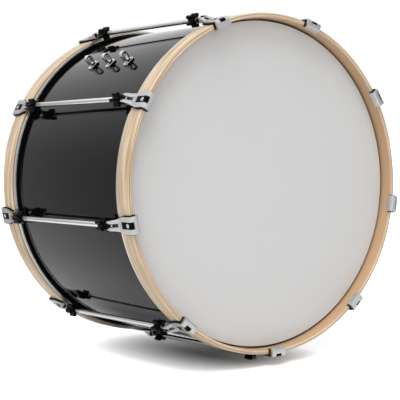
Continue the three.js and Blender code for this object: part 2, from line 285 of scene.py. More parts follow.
class DrumStageValues(bpy.types.PropertyGroup):
    """Light levels of the studio, the painted glow that sets where the drum's shadow shows on its
    floor, and the glowing cards that paint reflections.
    """
    key: level(1.9, "Main light, in watts per square metre")
    fill: level(1.15, "Front light, in watts per square metre")
    softness: FloatProperty(default=0.7, min=0.0, subtype="ANGLE",
                            description="How wide the main light looks from the drum")
    world: level(0.3, "The studio's walls, which the camera sees as white")
    # Painted glow on the floor, which whitens the drum's real shadow outside an ellipse and so sets
    # where the shadow shows
    lift: level(0.8, "What the camera sees added to the floor beyond the shadow")
    mirror_lift: level(0.1, "What the drum's gloss sees added to the floor")
    # Middle and sizes of the ellipse of that painted glow
    shadow_side: length(-0.009, "The shadow's middle, to the right of the drum's", low=-1.0)
    shadow_rear: length(-0.045, "The shadow's middle, to the rear of the drum's", low=-1.0)
    shadow_across: length(0.188, "Shadow's middle to where the lift is 1, across", low=0.01)
    shadow_along: length(0.395, "Shadow's middle to where the lift is 1, along", low=0.01)
    # Glowing cards that only gloss sees: painted reflections on the shell and the claws
    side_card: level(0.45, "The card that the side of the shell mirrors")
    front_card: level(0.25, "The card that the fronts of the claws mirror")


# Shapes

def outline(corners):
    """A new form with one flat face, and its corners."""
    bm = bmesh.new()
    points = [bm.verts.new(corner) for corner in corners]
    bm.faces.new(points)
    return bm, points


def rounded(bm, geom, radius, segments, affect="VERTICES", clamp=False):
    """Rounds corners of an outline, or edges of a form."""
    bmesh.ops.bevel(bm, geom=geom, offset=radius, offset_type="OFFSET", segments=segments,
                    profile=0.5, affect=affect, clamp_overlap=clamp, material=-1)


def thickened(bm, along):
    """Extrudes a flat outline along a vector."""
    made = bmesh.ops.extrude_face_region(bm, geom=list(bm.faces))
    moved = [item for item in made["geom"] if isinstance(item, bmesh.types.BMVert)]
    bmesh.ops.translate(bm, verts=moved, vec=along)


def whole(bm):
    """All that a form consists of."""
    return [*bm.verts, *bm.edges, *bm.faces]


def cut(bm, place, normal):
    """Cuts every face of a form along a plane."""
    bmesh.ops.bisect_plane(bm, geom=whole(bm), dist=MERGE, plane_co=place, plane_no=normal)


def profile_ring(points, steps, rounding=0.0, segments=4, closed=True):
    """Spins a profile of (radius, place) about the Y axis, its corners rounded first."""
    places = [(radius, place, 0.0) for radius, place in points]
    if closed:
        bm, corners = outline(places)
        if rounding:
            rounded(bm, corners, rounding, segments, clamp=True)
        bmesh.ops.delete(bm, geom=list(bm.faces), context="FACES_ONLY")
    else:
        bm = bmesh.new()
        corners = [bm.verts.new(place) for place in places]
        for pair in zip(corners, corners[1:]):
            bm.edges.new(pair)
    bmesh.ops.spin(bm, geom=whole(bm), cent=(0, 0, 0), dvec=(0, 0, 0),
                   axis=(0, 1, 0), angle=2 * math.pi, steps=steps, use_merge=True)
    tidy(bm)
    return bm


def arc(centre, radius, start, end, steps):
    """Points of (radius, place) on an arc, from one angle in degrees to another."""
    angles = [math.radians(start + (end - start) * i / steps) for i in range(steps + 1)]
    return [(centre[0] + radius * math.cos(a), centre[1] + radius * math.sin(a)) for a in angles]


def tidy(bm):
    """Merges doubles and turns the faces outward."""
    bmesh.ops.remove_doubles(bm, verts=list(bm.verts), dist=MERGE)
    bmesh.ops.recalc_face_normals(bm, faces=list(bm.faces))


def slab(points, width, rounding=(), offset=0.0):
    """Extrudes an outline of (height, place) across the station, centred, corners rounded."""
    bm, corners = outline([(high, place, -width / 2) for high, place in points])
    for index, radius, segments in rounding:
        rounded(bm, [corners[index]], radius, segments)
    thickened(bm, (0.0, 0.0, width))
    bmesh.ops.translate(bm, verts=list(bm.verts), vec=(0.0, 0.0, offset))
    tidy(bm)
    return bm


def plate(points, low, high, rounding=0.0, segments=4):
    """Extrudes an outline of (place, across) away from the drum, from low to high."""
    bm, corners = outline([(low, place, across) for place, across in points])
    if rounding:
        rounded(bm, corners, rounding, segments, clamp=True)
    thickened(bm, (high - low, 0.0, 0.0))
    tidy(bm)
    return bm


def rod(profile, segments, centre=(0, 0, 0), axis=(0, 1, 0)):
    """Spins an open profile of (radius, place) about a line through centre along axis."""
    bm = profile_ring(profile, segments, closed=False)
    turn = Vector((0, 1, 0)).rotation_difference(Vector(axis)).to_matrix().to_4x4()
    bmesh.ops.transform(bm, matrix=Matrix.Translation(centre) @ turn, verts=list(bm.verts))
    return bm


def mesh_of(name, bm):
    """A mesh of a form, which is freed."""
    mesh = bpy.data.meshes.new(name)
    bm.to_mesh(mesh)
    bm.free()
    return mesh


def shown(name, data):
    """A new object in the scene."""
    obj = bpy.data.objects.new(name, data)
    bpy.context.scene.collection.objects.link(obj)
    return obj


def joined(*parts):
    """Puts several closed forms into one."""
    together = bmesh.new()
    for part in parts:
        mesh = mesh_of("part", part)
        together.from_mesh(mesh)
        bpy.data.meshes.remove(mesh)
    return together


def template(name, bm):
    """A mesh that copies are taken from, smooth between its sharp edges."""
    mesh = mesh_of(name, bm)
    mesh.polygons.foreach_set("use_smooth", [True] * len(mesh.polygons))
    mesh.set_sharp_from_angle(angle=SHARP)
    return mesh


def piece(name, mesh, matrix, body, slot, finish="", nodes=(), edge=0.0, segments=2):
    """Makes one object of a mesh's copy, put in its place and on its body, with its slot's finish or
    the finish given.
    """
    own = mesh.copy()
    own.name = name
    own.transform(matrix)
    own.materials.clear()
    own.materials.append(finish_of(finish or slot))
    obj = shown(name, own)
    if edge:
        bevel = obj.modifiers.new("edges", "BEVEL")
        bevel.width = edge
        bevel.segments = segments
        bevel.limit_method = "ANGLE"
        bevel.angle_limit = BEVELLED
        bevel.harden_normals = True
    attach(obj, body)
    if nodes:
        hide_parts(*nodes)


def station(angle, front=False):
    """From a station's frame (outward, along the drum, across) to the drum's."""
    place = Matrix.Translation((0.0, 0.0, AXIS_HEIGHT)) @ Matrix.Rotation(-angle, 4, "Y")
    return place @ Matrix.Rotation(math.pi, 4, "X") if front else place


def angle_of(index):
    """Angle of a station, counted from 1 at the bottom."""
    return FIRST_ANGLE + (index - 1) * PITCH


def stations():
    """Every claw's end of the drum, number and frame."""
    for end, front in ENDS:
        for index in range(1, STATIONS + 1):
            yield end, index, station(angle_of(index), front)


# Materials

def feed(tree, node, values):
    """Sets a node's inputs by name or number, and links those whose value is a socket."""
    for key, value in values.items():
        if isinstance(value, bpy.types.NodeSocket):
            tree.links.new(value, node.inputs[key])
        else:
            node.inputs[key].default_value = value
    return node


def add(tree, kind, values=()):
    """A new shader node of a kind, its inputs fed."""
    return feed(tree, tree.nodes.new(f"ShaderNode{kind}"), dict(values))


def maths(tree, operation, *values, clamp=False):
    """A math node's result, for numbers and sockets."""
    node = add(tree, "Math")
    node.operation = operation
    node.use_clamp = clamp
    return feed(tree, node, dict(enumerate(values))).outputs[0]


def object_places(tree):
    """The three object coordinates."""
    return add(tree, "SeparateXYZ", {"Vector": add(tree, "TexCoord").outputs["Object"]}).outputs


def from_axis(tree):
    """Object coordinates with their height counted from the drum's axis, and the radius."""
    side, along, height = object_places(tree)
    height = maths(tree, "SUBTRACT", height, AXIS_HEIGHT)
    squares = [maths(tree, "MULTIPLY", value, value) for value in (side, height)]
    return side, along, height, maths(tree, "SQRT", maths(tree, "ADD", *squares))


def group(name, inputs, outputs):
    """An empty node group with named numbers, and the sockets of those that come in."""
    tree = bpy.data.node_groups.new(name, "ShaderNodeTree")
    for label, value in inputs.items():
        socket = tree.interface.new_socket(label, in_out="INPUT", socket_type="NodeSocketFloat")
        socket.default_value = value
    for label in outputs:
        tree.interface.new_socket(label, in_out="OUTPUT", socket_type="NodeSocketFloat")
    return tree, tree.nodes.new("NodeGroupInput").outputs, tree.nodes.new("NodeGroupOutput")


def mottle_group():
    """Fine unevenness: a slow cloud and a fine speckle, between two values."""
    tree, given, out = group("mottle", {"Cloud scale": 8.0, "Speckle scale": 900.0, "Low": 0.3,
                                        "High": 0.5}, ("Value", "Speckle"))
    place = add(tree, "TexCoord").outputs["Object"]
    cloud, speckle = (add(tree, "TexNoise", {"Vector": place, "Scale": given[label],
                                             "Detail": detail}).outputs["Fac"]
                      for label, detail in (("Cloud scale", 3.0), ("Speckle scale", 2.0)))
    scale = add(tree, "MapRange", {
        "Value": maths(tree, "MULTIPLY_ADD", speckle, SPECKLE_SHARE, cloud), "From Min": 0.35,
        "From Max": 1.0, "To Min": given["Low"], "To Max": given["High"]})
    feed(tree, out, {"Value": scale.outputs["Result"], "Speckle": speckle})
    return tree


def rings_group():
    """Masks of a thin ring at a radius from the drum's axis, and of all that lies beyond it."""
    tree, given, out = group("rings", {"Radius": 0.3, "Width": 0.001}, ("Ring", "Beyond"))
    off = maths(tree, "SUBTRACT", from_axis(tree)[3], given["Radius"])
    share = maths(tree, "DIVIDE", off, given["Width"])
    nearness = maths(tree, "SUBTRACT", RING_REACH, maths(tree, "ABSOLUTE", share), clamp=True)
    feed(tree, out, {"Ring": nearness, "Beyond": maths(tree, "ADD", share, 0.5, clamp=True)})
    return tree


def grain_group():
    """Wood grain that runs round the drum, with fine pores along it."""
    tree, given, out = group("grain", {"Streaks": 120.0, "Run": 9.0}, ("Grain", "Pores"))
    side, along, height, radius = from_axis(tree)
    across = maths(tree, "ADD", along, maths(tree, "MULTIPLY", radius, GRAIN_SLANT))
    for label, scale, run in (("Grain", 1.0, 1.0), ("Pores", 4.0, 5.0)):
        step = maths(tree, "MULTIPLY", given["Run"], run)
        streak = maths(tree, "MULTIPLY", given["Streaks"], scale)
        places = (maths(tree, "MULTIPLY", side, step), maths(tree, "MULTIPLY", height, step),
                  maths(tree, "MULTIPLY", across, streak))
        vector = add(tree, "CombineXYZ", enumerate(places)).outputs[0]
        noise = add(tree, "TexNoise", {"Vector": vector, "Scale": 1.0, "Detail": 4.0})
        feed(tree, out, {label: noise.outputs["Fac"]})
    return tree


NODE_GROUPS = {"mottle": mottle_group, "rings": rings_group, "grain": grain_group}


def instance(made, name, values=()):
    """What a node group puts out in a finish, for inputs by name."""
    node = add(made.node_tree, "Group")
    node.node_tree = bpy.data.node_groups.get(name) or NODE_GROUPS[name]()
    return feed(made.node_tree, node, dict(values)).outputs


def dress(made, values):
    """Feeds a finish's shader."""
    feed(made.node_tree, made.node_tree.nodes["Principled BSDF"], values)


def bumped(made, height, strength):
    """Leads a height to a finish's normal as a fine bump."""
    relief = add(made.node_tree, "Bump", {"Strength": strength, "Distance": RELIEF,
                                          "Height": height})
    dress(made, {"Normal": relief.outputs["Normal"]})


def material(name, base, roughness, metallic, mottle, bump, specular):
    """A finish whose roughness wanders a little, with a fine bump."""
    made = bpy.data.materials.new(name)
    made.use_nodes = True
    made.diffuse_color = base
    dress(made, {"Base Color": base, "Metallic": metallic, "Roughness": roughness,
                 "Specular IOR Level": specular})
    if mottle:
        cloud, speckle, spread = mottle
        uneven = instance(made, "mottle", {
            "Cloud scale": cloud, "Speckle scale": speckle,
            "Low": roughness - spread, "High": roughness + spread})
        dress(made, {"Roughness": uneven["Value"]})
        if bump:
            bumped(made, uneven["Speckle"], bump)
    return made


def mixed(made, mask, first, second):
    """A colour between two, by a mask, led to a finish's base colour."""
    mix = add(made.node_tree, "Mix")
    mix.data_type = "RGBA"
    result = feed(made.node_tree, mix, {"Factor": mask, "A": first, "B": second}).outputs["Result"]
    dress(made, {"Base Color": result})
    return result


def rings(made, radius, width):
    """The masks of a ring in a finish, at a radius from the drum's axis."""
    return instance(made, "rings", {"Radius": radius, "Width": width})


def film_material(made, colours):
    """Paints shade on the coated film where it passes beyond the bearing edge that it rests on, for
    the dark gap between its collar and the hoop.
    """
    sizes = bpy.context.scene.drum_rings
    painted_rim_shade = rings(made, sizes.film_rim_shade, sizes.film_fade)
    mixed(made, painted_rim_shade["Beyond"], colours.film, colours.film_rim_shade)
    return made


def maple_material(made, colours):
    """Gives clear lacquered maple its grain and glue line, which run round the hoop, and a darker,
    redder inner face that is partly an inner ply and partly painted shade.
    """
    sizes = bpy.context.scene.drum_rings
    grain = instance(made, "grain")
    contrast = add(made.node_tree, "MapRange", {"Value": grain["Grain"], "From Min": 0.36,
                                                "From Max": 0.66})
    rough = add(made.node_tree, "MapRange", {"Value": grain["Pores"], "To Min": 0.34,
                                             "To Max": 0.52})
    inside = sizes.hoop_radius - sizes.hoop_thickness
    # Inner face darker and redder: partly the inner ply, partly painted shade
    core_and_shade = rings(made, inside + sizes.core_and_shade_depth, sizes.core_and_shade_depth)
    glue = rings(made, sizes.hoop_radius - sizes.glue_depth, sizes.glue_width)
    ply_and_shade = mixed(made, core_and_shade["Beyond"], colours.maple_core_and_shade, colours.maple)
    wood = mixed(made, contrast.outputs["Result"], ply_and_shade, colours.maple_dark)
    mixed(made, glue["Ring"], wood, colours.glue)
    dress(made, {"Coat Weight": 0.35, "Coat Roughness": 0.25,
                 "Roughness": rough.outputs["Result"]})
    bumped(made, grain["Pores"], 0.15)
    return made


def finish_of(slot):
    """The material of a slot, an inset or the rubber, made when first asked for."""
    name = f"{slot}_finish"
    if name in bpy.data.materials:
        return bpy.data.materials[name]
    colours = bpy.context.scene.drum_colours
    colour_name, *values = FINISHES[slot]
    made = material(name, getattr(colours, colour_name), *values)
    if slot == "head_film":
        return film_material(made, colours)
    if slot == "maple":
        return maple_material(made, colours)
    return made


class DRUM_OT_shell(bpy.types.Operator):
    """Makes the shell, with its bearing edges"""
    bl_idname = "drum.shell"
    bl_label = "Shell"

    def execute(self, context):
        s = context.scene.drum_rings
        inner = s.shell_radius - s.shell_wall
        crest = s.shell_radius - s.crest
        outer_end = s.shell_half - s.crest * 1.25
        inner_end = s.shell_half - (crest - inner)
        bm = profile_ring([
            (s.shell_radius, -outer_end), (s.shell_radius, outer_end), (crest, s.shell_half),
            (inner, inner_end), (inner, -inner_end), (crest, -s.shell_half)],
            s.steps, rounding=EDGE, segments=3)
        piece("shell_lacquered", template("shell", bm), station(0.0), "shell_body",
              "black_lacquer", nodes=["shell"])
        return {"FINISHED"}


class DRUM_OT_heads(bpy.types.Operator):
    """Makes the two film heads and the flesh hoops that they are set in"""
    bl_idname = "drum.heads"
    bl_label = "Heads"

    def execute(self, context):
        s = context.scene.drum_rings
        film = template("film", self.film(s))
        inside, outside = s.flesh_radius, s.flesh_radius + s.flesh_thickness
        low, lip = s.flesh_top - s.flesh_depth, outside - s.flesh_lip
        flange = s.flesh_top - s.flesh_lip / 2
        middle, groove = outside - s.flesh_lip / 2, s.flesh_lip / 8
        flesh = template("flesh", profile_ring([
            (outside, low), (outside, s.flesh_top), (inside, s.flesh_top), (inside, flange),
            (lip, flange), (lip, low), (middle - groove, low), (middle - groove, low + 3 * groove),
            (middle + groove, low + 3 * groove), (middle + groove, low)],
            s.steps, rounding=groove, segments=3))
        seam = s.film_gap / 3
        filler = template("filler", profile_ring([
            (lip - seam, low + 2 * seam), (lip - seam, flange - seam),
            (inside + seam, flange - seam), (inside + seam, low + 2 * seam)], s.steps))
        for end, front in ENDS:
            place = station(0.0, front)
            piece(f"{end}_film", film, place, "shell_body", "head_film", nodes=[f"{end}_head"])
            piece(f"{end}_flesh_ring", flesh, place, "shell_body", "satin_metal", "flesh_metal",
                  [f"{end}_flesh_hoop"])
            piece(f"{end}_flesh_filler", filler, place, "shell_body", "black_polymer", "rubber")
        return {"FINISHED"}

    def film(self, s):
        """A flat film that bends over the bearing edge into its collar."""
        under, top = s.shell_half + s.film_gap, s.shell_half + s.film_gap + s.film
        foot = s.flesh_top + s.film_gap
        centre = (s.collar - s.collar_bend, top - s.collar_bend)
        inner = arc(centre, s.collar_bend - s.film, 90, 0, 6)
        outer = arc(centre, s.collar_bend, 0, 90, 6)
        return profile_ring([(0.0, under), *inner, (s.collar - s.film, foot), (s.collar, foot),
                             *outer, (0.0, top)], s.steps, closed=False)


class DRUM_OT_hoops(bpy.types.Operator):
    """Makes the two wooden hoops"""
    bl_idname = "drum.hoops"
    bl_label = "Hoops"

    def execute(self, context):
        s = context.scene.drum_rings
        inside = s.hoop_radius - s.hoop_thickness
        bm = profile_ring([(s.hoop_radius, s.hoop_rear), (s.hoop_radius, s.hoop_front),
                           (inside, s.hoop_front), (inside, s.hoop_rear)],
                          s.steps, rounding=s.hoop_round, segments=5)
        hoop = template("hoop", bm)
        for end, front in ENDS:
            piece(f"{end}_maple_hoop", hoop, station(0.0, front), f"{end}_hoop_body",
                  "maple", nodes=[f"{end}_hoop"])
        return {"FINISHED"}


def claw_half(s, rear, place):
    """Half the claw's width at a place along the drum, its corners eased."""
    plan = ((s.tail_end, s.tail_tip), (rear, s.tail_width),
            (rear + s.shoulder_length * 2 / 3, s.shoulder_width),
            (rear + s.shoulder_length, s.claw_width), (s.claw_front, s.claw_width))

    def width(at):
        for (low, narrow), (high, wide) in zip(plan, plan[1:]):
            if at <= high:
                return narrow + (wide - narrow) * max(at - low, 0.0) / (high - low)
        return s.claw_width

    ease = s.shoulder_length / SHOULDER_STEPS
    return sum(width(place + ease * step / 2) for step in range(-2, 3)) / 10


def narrowed(bm, s, rear, inner=0.0, under=0.0):
    """Draws a form's outer sides in to the claw's plan, and a little under it."""
    for step in range(-SHOULDER_STEPS // 2, SHOULDER_STEPS + 3):
        cut(bm, (0, rear + s.shoulder_length * step / SHOULDER_STEPS, 0), (0, 1, 0))
    for vert in bm.verts:
        if abs(vert.co.z) > inner:
            vert.co.z = math.copysign(claw_half(s, rear, vert.co.y) - under, vert.co.z)
    return bm


def hook_shape(s, rear):
    """The claw's plate, nose, front wall and return, with the inset's recess."""
    wall = s.claw_front - s.claw_wall
    back = s.claw_front - s.claw_return
    wall_foot = s.claw_inner + s.toe_height
    bm = slab([(s.claw_under, s.claw_rear), (s.claw_top, s.claw_rear),
               (s.claw_top, s.claw_front), (wall_foot, s.claw_front),
               (s.claw_inner, s.claw_front - s.claw_toe), (s.claw_inner, back),
               (wall_foot, back), (wall_foot, wall), (s.claw_under, wall)], s.claw_width,
              rounding=((2, s.claw_nose, 6), (3, s.wall_round, 3), (4, s.toe_round, 3)))
    narrowed(bm, s, rear)
    for place, normal in (((0, 0, s.inset_width / 2), (0, 0, 1)),
                          ((0, 0, -s.inset_width / 2), (0, 0, 1)),
                          ((0, s.inset_rear, 0), (0, 1, 0)),
                          ((s.inset_foot, 0, 0), (1, 0, 0))):
        cut(bm, place, normal)
    recess = [face for face in bm.faces
              if abs(face.calc_center_median().z) < s.inset_width / 2
              and face.calc_center_median().y > s.inset_rear
              and face.calc_center_median().x > s.inset_foot
              and max(face.normal.x, face.normal.y) > OUTWARD]
    bmesh.ops.inset_region(bm, faces=recess, thickness=s.inset_slope, depth=-s.inset_depth,
                           use_even_offset=True, use_boundary=True)
    return bm


def tail_shape(s, rear):
    """The claw's forked tail: two cheeks and the frame of its window."""
    high = s.screw_line + s.trunnion_radius + LAP
    low = s.screw_line - s.trunnion_radius - LAP
    ramp = s.trunnion_place + s.trunnion_radius + CLEARANCE
    joint = s.claw_rear + s.tail_lap
    side = [(s.claw_under, joint), (s.claw_under, rear), (low, rear - s.tail_heel),
            (low, s.tail_end), (high, s.tail_end), (high, ramp),
            (s.claw_top - LAP, s.claw_rear), (s.claw_top - LAP, joint)]
    rounding = ((3, s.prong_round, 5), (4, s.prong_round, 5), (5, s.ramp_round, 3))
    half = s.channel / 2
    prong = s.tail_width / 2 - half
    cheeks = [narrowed(slab(side, prong, rounding=rounding, offset=sign * (half + prong / 2)),
                       s, rear, inner=half + prong / 2, under=2 * HAIR) for sign in (-1, 1)]
    end = s.window_end
    slope = (high - s.claw_top) * (s.claw_rear - end) / (s.claw_rear - ramp)
    roof = slab([(s.claw_under, joint), (s.claw_under, end + s.roof_lap),
                 (s.claw_top + slope - s.tail_roof, end), (s.claw_top + slope - LAP, end),
                 (s.claw_top - SUNK, s.claw_rear), (s.claw_top - SUNK, joint)],
                s.channel + CLEARANCE)
    wide = half + CLEARANCE / 2 - s.window_width / 2
    reach = end + s.roof_lap / 2
    strips = [slab([(high - s.tail_roof, ramp - s.roof_lap), (high - LAP, ramp - s.roof_lap),
                    (s.claw_top + slope, reach), (s.claw_top + slope - s.tail_roof, reach)],
                   wide, offset=sign * (s.window_width + wide) / 2) for sign in (-1, 1)]
    return [*cheeks, roof, *strips]


def trunnion_shape(s):
    """The cross bar between the prongs, which the hand screw pulls on."""
    reach = s.trunnion_length / 2
    bevel = s.trunnion_radius / 6
    return rod([(0.0, -reach), (s.trunnion_radius - bevel, -reach),
                (s.trunnion_radius, -reach + bevel), (s.trunnion_radius, reach - bevel),
                (s.trunnion_radius - bevel, reach), (0.0, reach)],
               KNOB_STEPS, (s.screw_line, s.trunnion_place, 0.0), (0, 0, 1))


def pad_shape(s, r):
    """The rubber pad: a sheet over the hoop, a lip in front of it and a fold inside it."""
    wall = s.claw_front - s.claw_wall - HAIR
    step = s.shoulder_length / SHOULDER_STEPS
    places = [r.hoop_rear + step * i for i in range(-1, SHOULDER_STEPS + 1)] + [wall]
    side = [(place, -claw_half(s, r.hoop_rear, place) - s.pad_margin) for place in places]
    outside = r.hoop_radius + HAIR
    sheet = plate(side + [(place, -across) for place, across in reversed(side)],
                  outside, s.claw_under - HAIR)
    across = s.claw_width + 2 * s.pad_margin - HAIR
    inside = r.hoop_radius - r.hoop_thickness - HAIR
    foot = s.claw_inner + s.toe_height + HAIR
    front = r.hoop_front + HAIR
    lip = slab([(outside, wall), (foot, wall), (foot, front), (outside, front)], across)
    back = s.claw_front - s.claw_return - s.pad_margin
    fold = slab([(inside, wall - HAIR), (foot, wall - HAIR), (foot, back), (inside, back)],
                across - HAIR)
    return [sheet, lip, fold]


def inset_shape(s):
    """The black filling of the claw's recess, bent over its nose."""
    floor = s.claw_top - s.inset_depth
    nose = s.claw_front - s.inset_depth
    rear, foot, high = s.inset_rear + LAP, s.inset_foot + LAP, floor + s.inset_proud
    return slab([(floor - s.inset_root, rear), (high, rear), (high, nose + s.inset_proud),
                 (foot, nose + s.inset_proud), (foot, nose - s.inset_root)],
                s.inset_width - 2 * LAP, rounding=((2, s.claw_nose - s.inset_depth + LAP, 6),))


def stud_shape(s):
    """The round stud in the middle of the inset."""
    top = s.claw_top - s.inset_depth + s.inset_proud
    return rod([(0.0, -CLEARANCE), (s.stud_radius, -CLEARANCE), (s.stud_radius, 2 * HAIR),
                (s.stud_radius - SUNK, s.stud_height - HAIR), (0.0, s.stud_height)],
               KNOB_STEPS, (top, s.stud_place, 0.0), (1, 0, 0))


class DRUM_OT_claws(bpy.types.Operator):
    """Makes the claws, with their pads, insets and studs"""
    bl_idname = "drum.claws"
    bl_label = "Claws"

    def execute(self, context):
        s = context.scene.drum_fittings
        r = context.scene.drum_rings
        claw = template("claw", joined(hook_shape(s, r.hoop_rear), *tail_shape(s, r.hoop_rear)))
        pad = template("pad", joined(*pad_shape(s, r)))
        trunnion = template("trunnion", trunnion_shape(s))
        inset = template("inset", inset_shape(s))
        stud = template("stud", stud_shape(s))
        parts = (("metal", claw, "satin_metal", "", s.claw_edge),
                 ("pad", pad, "black_polymer", "rubber", 0.0),
                 ("trunnion", trunnion, "black_polymer", "", 0.0),
                 ("inset", inset, "black_polymer", "inset", LAP),
                 ("stud", stud, "satin_metal", "", 0.0))
        for end, index, place in stations():
            for name, mesh, slot, finish, edge in parts:
                nodes = [f"{end}_claw_{index}"] if name == "metal" else ()
                piece(f"{end}_claw_{name}_{index}", mesh, place, f"{end}_hoop_body", slot, finish,
                      nodes, edge)
        return {"FINISHED"}


def knob_shape(s):
    """Five lobes for a knob's hub, spun from one lobe."""
    middle = s.knob_foot + s.knob_length / 2
    lobe = bmesh.new()
    bmesh.ops.create_cube(lobe, size=1.0)
    bmesh.ops.scale(lobe, vec=(s.knob_radius, s.knob_length, s.lobe), verts=list(lobe.verts))
    bmesh.ops.translate(lobe, vec=(s.knob_radius / 2, middle, 0.0), verts=list(lobe.verts))
    near = 10 * MERGE
    tips = [edge for edge in lobe.edges
            if all(abs(v.co.x - s.knob_radius) < near for v in edge.verts)
            and abs(edge.verts[0].co.z - edge.verts[1].co.z) < near]
    rounded(lobe, tips, s.lobe_round, 4, affect="EDGES")
    start = Matrix.Rotation(math.pi / LOBES, 4, "Y")
    bmesh.ops.transform(lobe, matrix=start, verts=list(lobe.verts))
    bmesh.ops.spin(lobe, geom=whole(lobe), cent=(0, 0, 0), axis=(0, 1, 0), dvec=(0, 0, 0),
                   angle=2 * math.pi * (LOBES - 1) / LOBES, steps=LOBES - 1,
                   use_duplicate=True)
    bmesh.ops.recalc_face_normals(lobe, faces=list(lobe.faces))
    return lobe


class DRUM_OT_hand_screws(bpy.types.Operator):
    """Makes the lobed hand screws, with their necks and rods"""
    bl_idname = "drum.hand_screws"
    bl_label = "Hand screws"

    def execute(self, context):
        s = context.scene.drum_fittings
        foot, top = s.knob_foot, s.knob_foot + s.knob_length
        neck_top = s.trunnion_place - s.trunnion_radius - CLEARANCE
        head = s.trunnion_place + s.trunnion_radius + CLEARANCE
        bare, cap = s.neck_radius - s.neck_groove, head + s.head_height
        hub = rod([(0.0, foot - s.hub_lip), (s.hub_radius - s.hub_slope, foot - s.hub_lip),
                   (s.hub_radius, foot + s.hub_lip), (s.hub_radius, top - s.hub_lip),
                   (s.hub_radius - s.neck_groove, top), (s.neck_radius, top + HAIR),
                   (bare, top + 2 * s.neck_groove), (bare, neck_top - s.neck_collar * 1.2),
                   (s.neck_radius, neck_top - s.neck_collar), (s.neck_radius, neck_top),
                   (0.0, neck_top)], KNOB_STEPS)
        shaft = rod([(0.0, s.tube_end - s.rod_reach), (s.rod_radius, s.tube_end - s.rod_reach),
                     (s.rod_radius, head + HAIR), (s.head_radius, head + 2 * HAIR),
                     (s.head_radius, cap - s.head_round), (s.head_radius - s.head_round, cap),
                     (0.0, cap)], ROD_STEPS)
        out = Matrix.Translation((s.screw_line, 0.0, 0.0))
        knob = template("knob", joined(knob_shape(s), hub))
        steel = template("rod", shaft)
        for end, index, place in stations():
            body = f"{end}_screw_{index}"
            piece(f"{end}_knob_{index}", knob, place @ out, body, "black_polymer",
                  nodes=[f"{end}_hand_screw_{index}"], edge=s.knob_edge)
            piece(f"{end}_rod_{index}", steel, place @ out, body, "bright_metal")
        return {"FINISHED"}


class DRUM_OT_tubes(bpy.types.Operator):
    """Makes the floating tension tubes"""
    bl_idname = "drum.tubes"
    bl_label = "Tubes"

    def execute(self, context):
        s = context.scene.drum_fittings
        bm = profile_ring([(s.tube_radius, -s.tube_end), (s.tube_radius, s.tube_end),
                           (s.tube_bore, s.tube_end), (s.tube_bore, -s.tube_end)],
                          TUBE_STEPS, rounding=EDGE, segments=3)
        tube = template("tube", bm)
        out = Matrix.Translation((s.screw_line, 0.0, 0.0))
        for index in range(1, STATIONS + 1):
            piece(f"tension_tube_{index}", tube, station(angle_of(index)) @ out, "shell_body",
                  "bright_metal", nodes=[f"tube_{index}"])
        return {"FINISHED"}


def loop_shape(s):
    """The eye's upright loop: a deep tapered frame, opened in the middle."""
    top = s.eye_under + s.eye_height
    root = s.eye_under + s.foot_height / 2
    wide, neck = s.eye_width / 2, s.eye_neck / 2
    bm, corners = outline([(high, -s.eye_thickness / 2, across) for high, across in (
        (root, -neck), (top - s.eye_crown, -wide), (top, -wide), (top, wide),
        (top - s.eye_crown, wide), (root, neck))])
    rounded(bm, [corners[2], corners[3]], s.eye_round, 6)
    thickened(bm, (0.0, s.eye_thickness, 0.0))
    sides = [face for face in bm.faces if abs(face.normal.y) > SIDEWAYS]
    bmesh.ops.inset_region(bm, faces=sides, thickness=s.eye_rim, use_even_offset=True)
    floor = top - s.eye_rim - s.eye_hole
    for vert in {v for face in sides for v in face.verts}:
        if vert.co.x < floor:
            vert.co.x = floor
            vert.co.z *= HOLE_SPREAD
    bmesh.ops.delete(bm, geom=sides, context="FACES_ONLY")
    rims = [edge for edge in bm.edges if len(edge.link_faces) == 1]
    bmesh.ops.bridge_loops(bm, edges=rims)
    tidy(bm)
    return bm


class DRUM_OT_sling_eyes(bpy.types.Operator):
    """Makes the sling eyes, with their screws and the plates inside the shell"""
    bl_idname = "drum.sling_eyes"
    bl_label = "Sling eyes"

    def execute(self, context):
        s = context.scene.drum_fittings
        r = context.scene.drum_rings
        low, high = s.eye_under, s.eye_under + s.foot_height
        half_width, half_length = s.foot_width / 2, s.foot_length / 2
        plan = [(-half_width, -half_length), (half_width, -half_length),
                (half_width, half_length), (-half_width, half_length)]
        foot = plate(plan, low, high, rounding=s.foot_corner, segments=5)
        eye = template("eye", joined(foot, loop_shape(s)))
        inside = r.shell_radius - r.shell_wall - 2 * LAP
        back = [plate(plan, inside - s.back_plate, inside, rounding=s.back_corner)]
        point = inside - high - s.screw_end
        for across in (-s.foot_screws / 2, s.foot_screws / 2):
            back.append(rod([(0.0, point), (SCREW_HEAD[0][0], point), *SCREW_HEAD],
                            ROD_STEPS, (high, 0.0, across), (1, 0, 0)))
        fixing = template("fixing", joined(*back))
        for index in range(1, EYE_COUNT + 1):
            along = (index - (EYE_COUNT + 1) / 2) * s.eye_pitch
            place = station(angle_of(EYE_STATION)) @ Matrix.Translation((0.0, along, 0.0))
            piece(f"sling_eye_loop_{index}", eye, place, "shell_body", "bright_metal",
                  nodes=[f"sling_eye_{index}"], edge=s.eye_edge, segments=3)
            piece(f"sling_eye_screws_{index}", fixing, place, "shell_body", "bright_metal",
                  nodes=[f"eye_screw_plate_{index}"])
        return {"FINISHED"}


def rays(tree):
    """Masks of rays from the camera or through glass, from a first mirror, and from any mirror."""
    paths = add(tree, "LightPath")
    first = maths(tree, "LESS_THAN", paths.outputs["Glossy Depth"], FIRST_MIRROR)
    mirror = maths(tree, "MULTIPLY", paths.outputs["Is Glossy Ray"], first)
    camera = maths(tree, "MAXIMUM", paths.outputs["Is Camera Ray"],
                   paths.outputs["Is Transmission Ray"])
    return camera, mirror, paths.outputs["Is Glossy Ray"]


